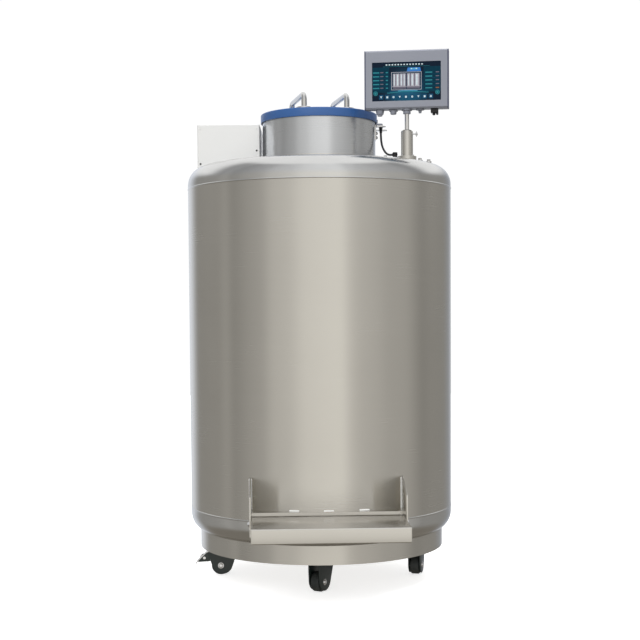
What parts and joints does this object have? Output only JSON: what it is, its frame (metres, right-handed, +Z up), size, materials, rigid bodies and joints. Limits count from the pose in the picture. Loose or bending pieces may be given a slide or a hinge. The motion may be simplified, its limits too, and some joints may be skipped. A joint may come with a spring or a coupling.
{
  "type": "liquid nitrogen dewar",
  "caption": "Tall stainless cryogenic storage tank on casters with a hinged blue lid, folding step, piping box and a touch screen on a mast.",
  "frame": {"origin": "on the floor at the tank's vertical axis, under the centre of the shell", "axes": "+Z up along the tank's axis; -Y toward the user, where the folding step is; +X to the user's right, the side with the screen and the lid lock"},
  "size_m": [0.8778, 1.1135, 1.7115],
  "materials": {
    "stainless": "brushed stainless steel, satin",
    "stainless_head": "fine satin stainless steel",
    "vessel_steel": "mill finish stainless steel",
    "bright_steel": "bright zinc or polished steel",
    "blue_paint": "semi-gloss blue paint",
    "white_paint": "fine texture white powder coat",
    "screen_paint": "grey satin enclosure paint",
    "black_steel": "black painted pressed steel",
    "black_plastic": "matt black plastic",
    "foam": "closed-cell foam in a thin skin",
    "rubber_seal": "matt rubber",
    "wheel_rubber": "dark grey wheel rubber",
    "cable_black": "black cable jacket",
    "tube_blue": "blue pneumatic tube",
    "wrap_foil": "layered foil and glass paper superinsulation",
    "carousel_alu": "natural aluminium sheet",
    "valve_brass": "machined brass valve body",
    "display_glass": "dark display behind a clear front",
    "board": "circuit board"
  },
  "bodies": {
    "tank": {"outer_shell": "stainless", "top_head": "stainless_head", "bottom_head": "stainless_head", "skirt": "stainless", "base_plate": "stainless", "weld_rings": "stainless_head", "inner_vessel": "vessel_steel", "insulation_wrap": "wrap_foil", "neck_tube": "vessel_steel", "collar": "stainless", "neck_flange": "vessel_steel", "neck_gasket": "rubber_seal", "hinge_bracket": "stainless_head", "hinge_pin": "bright_steel", "collar_hasp": "stainless_head", "lid_sensor": "black_plastic", "sensor_cable": "cable_black", "level_tube": "tube_blue", "head_glands": "black_plastic", "head_caps": "bright_steel", "box_cover": "white_paint", "box_screws": "bright_steel", "fill_pipes": "vessel_steel", "fill_valves": "valve_brass", "level_probe": "vessel_steel", "mast_tube": "stainless_head", "step_brackets": "stainless", "step_shelf": "stainless", "step_bolts": "bright_steel", "caster_plates": "black_steel", "carousel_pivot": "vessel_steel"},
    "tread": {"tread": "stainless", "tread_beam": "stainless"},
    "lid": {"lid_cover": "blue_paint", "lid_plug": "foam", "lid_handles": "stainless_head", "lid_hinge_arm": "stainless_head", "lid_hasp_tab": "stainless_head"},
    "mast": {"mast_rod": "bright_steel"},
    "clamp": {"mast_clamp": "black_plastic"},
    "screen": {"screen_case": "screen_paint", "screen_bezel": "screen_paint", "screen_display": "display_glass", "screen_board": "board", "screen_fittings": "screen_paint"},
    "carousel": {"carousel": "carousel_alu"},
    "caster_front": {"caster_fork_front": "black_steel", "caster_axle_front": "bright_steel"},
    "wheel_front": {"caster_wheel_front": "wheel_rubber"},
    "caster_left": {"caster_fork_left": "black_steel", "caster_axle_left": "bright_steel"},
    "wheel_left": {"caster_wheel_left": "wheel_rubber"},
    "brake_left": {"brake_pedal_left": "bright_steel"},
    "caster_right": {"caster_fork_right": "black_steel", "caster_axle_right": "bright_steel"},
    "wheel_right": {"caster_wheel_right": "wheel_rubber"},
    "caster_rear": {"caster_fork_rear": "black_steel", "caster_axle_rear": "bright_steel"},
    "wheel_rear": {"caster_wheel_rear": "wheel_rubber"},
    "brake_rear": {"brake_pedal_rear": "bright_steel"}
  },
  "joints": [
    {"name": "lid_hinge", "type": "hinge", "parent": "tank", "child": "lid", "pos_m": [-0.04458, 0.21339, 1.512], "axis": [-0.9789, -0.2045, 0], "range_deg": [0, 95]},
    {"name": "step_fold", "type": "hinge", "parent": "tank", "child": "tread", "pos_m": [0.02072, -0.47455, 0.2486], "axis": [-0.999, -0.0436, 0], "range_deg": [0, 90]},
    {"name": "mast_slide", "type": "slide", "parent": "tank", "child": "mast", "axis": [0, 0, 1], "range_m": [-0.035, 0.022]},
    {"name": "screen_swivel", "type": "hinge", "parent": "mast", "child": "screen", "pos_m": [0.281, -0.19, 1.51], "axis": [0, 0, 1], "range_deg": [-90, 90]},
    {"name": "clamp_turn", "type": "hinge", "parent": "tank", "child": "clamp", "pos_m": [0.281, -0.19, 1.4495], "axis": [1, 0, 0], "range_deg": [0, 180]},
    {"name": "carousel_turn", "type": "hinge", "parent": "tank", "child": "carousel", "pos_m": [0, 0, 0.3], "axis": [0, 0, 1], "continuous": true},
    {"name": "swivel_front", "type": "hinge", "parent": "tank", "child": "caster_front", "pos_m": [0, -0.275, 0.1], "axis": [0, 0, 1], "continuous": true},
    {"name": "roll_front", "type": "hinge", "parent": "caster_front", "child": "wheel_front", "pos_m": [-0.009, -0.29059, 0.032], "axis": [0.866, -0.5, 0], "continuous": true},
    {"name": "swivel_left", "type": "hinge", "parent": "tank", "child": "caster_left", "pos_m": [-0.322, -0.012, 0.1], "axis": [0, 0, 1], "continuous": true},
    {"name": "roll_left", "type": "hinge", "parent": "caster_left", "child": "wheel_left", "pos_m": [-0.34, -0.012, 0.032], "axis": [0, -1, 0], "continuous": true},
    {"name": "brake_press_left", "type": "hinge", "parent": "caster_left", "child": "brake_left", "pos_m": [-0.372, -0.012, 0.076], "axis": [0, -1, 0], "range_deg": [0, 12]},
    {"name": "swivel_right", "type": "hinge", "parent": "tank", "child": "caster_right", "pos_m": [0.322, -0.012, 0.1], "axis": [0, 0, 1], "continuous": true},
    {"name": "roll_right", "type": "hinge", "parent": "caster_right", "child": "wheel_right", "pos_m": [0.31734, -0.02939, 0.032], "axis": [0.9659, -0.2588, 0], "continuous": true},
    {"name": "swivel_rear", "type": "hinge", "parent": "tank", "child": "caster_rear", "pos_m": [0, 0.275, 0.1], "axis": [0, 0, 1], "continuous": true},
    {"name": "roll_rear", "type": "hinge", "parent": "caster_rear", "child": "wheel_rear", "pos_m": [0.009, 0.29059, 0.032], "axis": [-0.866, 0.5, 0], "continuous": true},
    {"name": "brake_press_rear", "type": "hinge", "parent": "caster_rear", "child": "brake_rear", "pos_m": [0.025, 0.3183, 0.076], "axis": [-0.866, 0.5, 0], "range_deg": [0, 12]}
  ]
}
